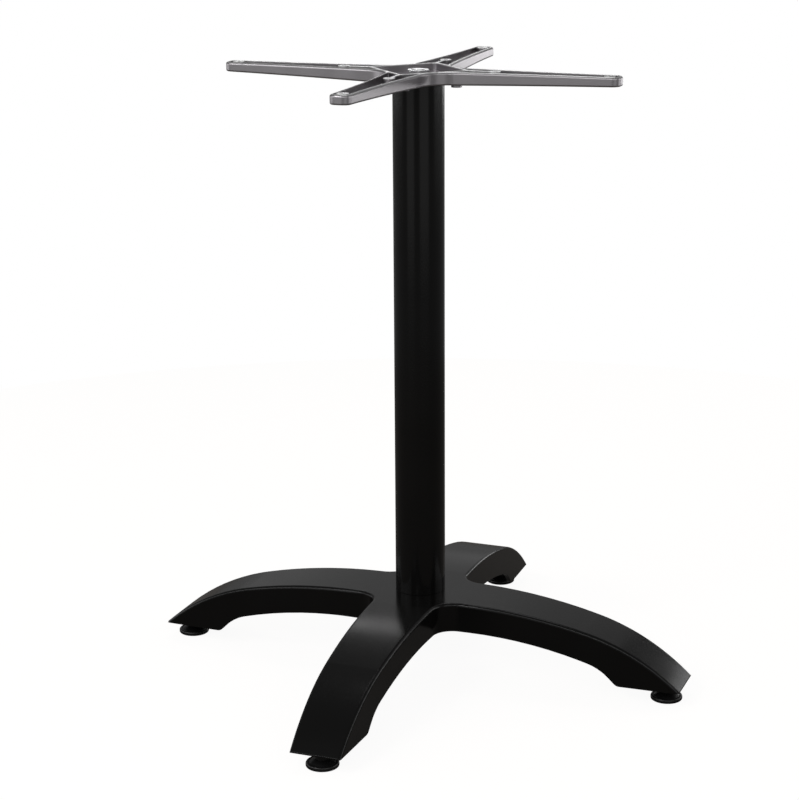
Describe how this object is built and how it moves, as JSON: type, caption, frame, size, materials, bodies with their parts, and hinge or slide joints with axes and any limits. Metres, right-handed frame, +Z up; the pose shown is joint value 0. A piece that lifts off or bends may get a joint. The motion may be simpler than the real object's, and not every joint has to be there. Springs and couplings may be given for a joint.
{
  "type": "table base",
  "caption": "Pedestal table base: arched four-leg casting, round column, open cast spider for a table top, and screw-in levelling glides.",
  "frame": {"origin": "on the floor under the middle of the column", "axes": "+Z up along the column; +X along the right leg and arm; -Y along the front leg and arm"},
  "size_m": [0.664, 0.664, 0.73],
  "materials": {
    "black_powder_coat": "satin powder coat",
    "raw_cast_aluminium": "as cast, lightly blasted",
    "zinc_plated_steel": "bright zinc",
    "black_plastic": "moulded, semi-gloss"
  },
  "bodies": {
    "base": {"base_casting": "black_powder_coat", "column_tube": "black_powder_coat", "top_spider": "raw_cast_aluminium", "tie_rod": "zinc_plated_steel", "upper_washer": "zinc_plated_steel", "upper_nut": "zinc_plated_steel", "lower_washer": "zinc_plated_steel", "lower_nut": "zinc_plated_steel"},
    "glide_front": {"glide_pad_front": "black_plastic", "glide_stem_front": "zinc_plated_steel"},
    "glide_right": {"glide_pad_right": "black_plastic", "glide_stem_right": "zinc_plated_steel"},
    "glide_back": {"glide_pad_back": "black_plastic", "glide_stem_back": "zinc_plated_steel"},
    "glide_left": {"glide_pad_left": "black_plastic", "glide_stem_left": "zinc_plated_steel"}
  },
  "joints": [
    {"name": "glide_front_level", "type": "slide", "parent": "base", "child": "glide_front", "axis": [0, 0, 1], "range_m": [-0.008, 0]},
    {"name": "glide_right_level", "type": "slide", "parent": "base", "child": "glide_right", "axis": [0, 0, 1], "range_m": [-0.008, 0]},
    {"name": "glide_back_level", "type": "slide", "parent": "base", "child": "glide_back", "axis": [0, 0, 1], "range_m": [-0.008, 0]},
    {"name": "glide_left_level", "type": "slide", "parent": "base", "child": "glide_left", "axis": [0, 0, 1], "range_m": [-0.008, 0]}
  ]
}
